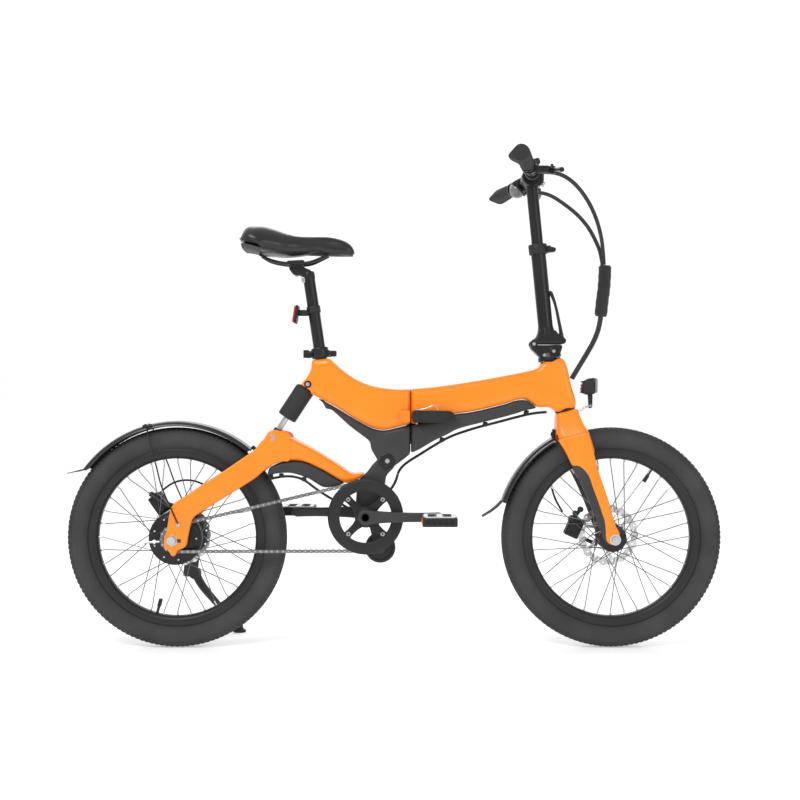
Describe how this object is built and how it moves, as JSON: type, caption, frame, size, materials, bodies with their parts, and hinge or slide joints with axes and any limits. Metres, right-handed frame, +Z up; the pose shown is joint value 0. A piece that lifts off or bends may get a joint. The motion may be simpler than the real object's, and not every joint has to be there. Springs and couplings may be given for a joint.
{
  "type": "folding bicycle",
  "caption": "Electric folding bicycle with a hinged frame, sprung swingarm, small wheels, hub motor, chain drive, disc brakes and folding handlepost.",
  "frame": {"origin": "on the ground, midway between the front and rear axles, on the bicycle's middle plane", "axes": "+X forwards along the wheelbase, +Y to the rider's left, +Z up"},
  "size_m": [1.5059, 0.5848, 1.1218],
  "materials": {
    "orange_paint": "gloss powder coat",
    "dark_casting": "satin",
    "black_plastic": "matte",
    "tyre_rubber": "matte tread",
    "grip_rubber": "matte",
    "black_rim": "satin anodised",
    "steel": "brushed",
    "calliper_metal": "satin",
    "saddle_cover": "smooth glossy synthetic",
    "cable_jacket": "smooth",
    "reflector_red": "prismatic",
    "battery_case": "matte"
  },
  "bodies": {
    "rear_frame": {"rear_frame_half": "orange_paint", "rear_frame_casting": "dark_casting", "frame_pins": "steel", "motor_controller": "battery_case", "seat_collar": "dark_casting"},
    "front_frame": {"front_frame_half": "orange_paint", "underside_cover": "dark_casting", "battery_pack": "battery_case", "headset_bearings": "steel", "front_cable": "cable_jacket"},
    "frame_latch": {"frame_latch_lever": "dark_casting"},
    "seat_lever": {"seat_collar_lever": "dark_casting"},
    "steering": {"fork": "orange_paint", "steerer_clamp": "dark_casting", "front_axle": "steel", "headlight": "black_plastic", "front_mudguard": "black_plastic", "front_calliper": "calliper_metal"},
    "front_wheel": {"front_tyre": "tyre_rubber", "front_rim": "black_rim", "front_spokes": "steel", "front_hub": "black_rim", "front_rotor": "steel"},
    "handlepost": {"handlepost": "dark_casting", "hose_sleeve": "black_plastic", "lower_hose": "cable_jacket"},
    "post_latch": {"handlepost_latch": "dark_casting"},
    "bars": {"handlepost_extension": "dark_casting", "handlebar": "dark_casting", "grips": "grip_rubber", "bar_controls": "black_plastic", "bar_hoses": "cable_jacket"},
    "brake_lever_right": {"brake_lever_right": "calliper_metal"},
    "brake_lever_left": {"brake_lever_left": "calliper_metal"},
    "seatpost": {"seatpost": "dark_casting", "saddle_mount": "black_plastic", "saddle": "saddle_cover", "rear_reflector": "reflector_red"},
    "swingarm": {"swingarm": "orange_paint", "swingarm_panels": "dark_casting", "bottom_bracket": "dark_casting", "swingarm_axles": "steel", "rear_mudguard": "black_plastic", "rear_calliper": "calliper_metal", "chain": "steel", "rear_cable": "cable_jacket"},
    "cranks": {"crankset": "dark_casting", "chainring": "black_rim"},
    "pedal_right": {"pedal_right": "black_plastic"},
    "pedal_left": {"pedal_left": "black_plastic"},
    "freewheel": {"freewheel": "steel"},
    "rear_wheel": {"rear_tyre": "tyre_rubber", "rear_rim": "black_rim", "rear_spokes": "steel", "hub_motor": "black_rim", "rear_rotor": "steel"},
    "shock_body": {"shock_body": "grip_rubber"},
    "shock_shaft": {"shock_shaft": "steel"},
    "kickstand": {"kickstand": "dark_casting"},
    "roller": {"transport_roller": "grip_rubber"}
  },
  "joints": [
    {"name": "frame_fold", "type": "hinge", "parent": "rear_frame", "child": "front_frame", "pos_m": [0.038, 0.045, 0.53], "axis": [0, 0, 1], "range_deg": [0, 148], "deforming": ["front_cable"]},
    {"name": "frame_latch", "type": "hinge", "parent": "front_frame", "child": "frame_latch", "pos_m": [0.052, -0.044, 0.53], "axis": [0, 0, -1], "range_deg": [0, 120]},
    {"name": "seat_lever", "type": "hinge", "parent": "rear_frame", "child": "seat_lever", "pos_m": [-0.205, 0.022, 0.676], "axis": [0, 0, 1], "range_deg": [0, 120]},
    {"name": "steer", "type": "hinge", "parent": "front_frame", "child": "steering", "pos_m": [0.395, 0, 0.5452], "axis": [-0.284, 0, 0.9588], "range_deg": [-60, 60]},
    {"name": "front_wheel_spin", "type": "hinge", "parent": "steering", "child": "front_wheel", "pos_m": [0.5, 0, 0.253], "axis": [0, 1, 0], "continuous": true},
    {"name": "handlepost_fold", "type": "hinge", "parent": "steering", "child": "handlepost", "pos_m": [0.321, 0, 0.6975], "axis": [0, -1, 0], "range_deg": [0, 95], "deforming": ["lower_hose"]},
    {"name": "post_latch", "type": "hinge", "parent": "handlepost", "child": "post_latch", "pos_m": [0.39, 0, 0.706], "axis": [0, 1, 0], "range_deg": [0, 42]},
    {"name": "bar_height", "type": "slide", "parent": "handlepost", "child": "bars", "axis": [-0.0976, 0, 0.9952], "range_m": [-0.1, 0.04], "deforming": ["bar_hoses"]},
    {"name": "brake_right", "type": "hinge", "parent": "bars", "child": "brake_lever_right", "pos_m": [0.346, -0.142, 1.0758], "axis": [0, 0, -1], "range_deg": [0, 18], "stiffness_Nm_per_rad": 2, "springref_deg": -5.73},
    {"name": "brake_left", "type": "hinge", "parent": "bars", "child": "brake_lever_left", "pos_m": [0.346, 0.142, 1.0758], "axis": [0, 0, 1], "range_deg": [0, 18], "stiffness_Nm_per_rad": 2, "springref_deg": -5.73},
    {"name": "seat_height", "type": "slide", "parent": "rear_frame", "child": "seatpost", "axis": [-0.1478, 0, 0.989], "range_m": [-0.065, 0.03]},
    {"name": "rear_suspension", "type": "hinge", "parent": "rear_frame", "child": "swingarm", "pos_m": [-0.0155, 0, 0.4296], "axis": [0, 1, 0], "range_deg": [0, 5.5], "stiffness_Nm_per_rad": 9000, "springref_deg": -1.15, "deforming": ["rear_cable"]},
    {"name": "shock_swing", "type": "hinge", "parent": "rear_frame", "child": "shock_body", "pos_m": [-0.198, 0, 0.605], "axis": [0, 1, 0], "range_deg": [0, 4.2]},
    {"name": "shock_stroke", "type": "slide", "parent": "shock_body", "child": "shock_shaft", "axis": [0.5491, 0, 0.8358], "range_m": [0, 0.0245]},
    {"name": "crank_spin", "type": "hinge", "parent": "swingarm", "child": "cranks", "pos_m": [-0.0646, 0, 0.3045], "axis": [0, 1, 0], "continuous": true, "deforming": ["chain"]},
    {"name": "pedal_right_spin", "type": "hinge", "parent": "cranks", "child": "pedal_right", "pos_m": [0.1004, -0.13, 0.3045], "axis": [0, 1, 0], "continuous": true},
    {"name": "pedal_left_spin", "type": "hinge", "parent": "cranks", "child": "pedal_left", "pos_m": [-0.2296, 0.13, 0.3045], "axis": [0, 1, 0], "continuous": true},
    {"name": "freewheel_spin", "type": "hinge", "parent": "swingarm", "child": "freewheel", "pos_m": [-0.5, -0.046, 0.253], "axis": [0, 1, 0], "continuous": true},
    {"name": "rear_wheel_spin", "type": "hinge", "parent": "swingarm", "child": "rear_wheel", "pos_m": [-0.5, 0, 0.253], "axis": [0, 1, 0], "continuous": true},
    {"name": "kickstand_fold", "type": "hinge", "parent": "swingarm", "child": "kickstand", "pos_m": [-0.473, 0.084, 0.158], "axis": [-0.2525, 0.9676, 0], "range_deg": [0, 105]},
    {"name": "roller_spin", "type": "hinge", "parent": "swingarm", "child": "roller", "pos_m": [-0.032, 0, 0.229], "axis": [0, 1, 0], "continuous": true}
  ],
  "couplings": [
    {"joint": "shock_swing", "follows": "rear_suspension", "ratio": 0.714},
    {"joint": "shock_stroke", "follows": "rear_suspension", "m_per_rad": 0.25},
    {"joint": "freewheel_spin", "follows": "crank_spin", "ratio": 2.7857}
  ]
}
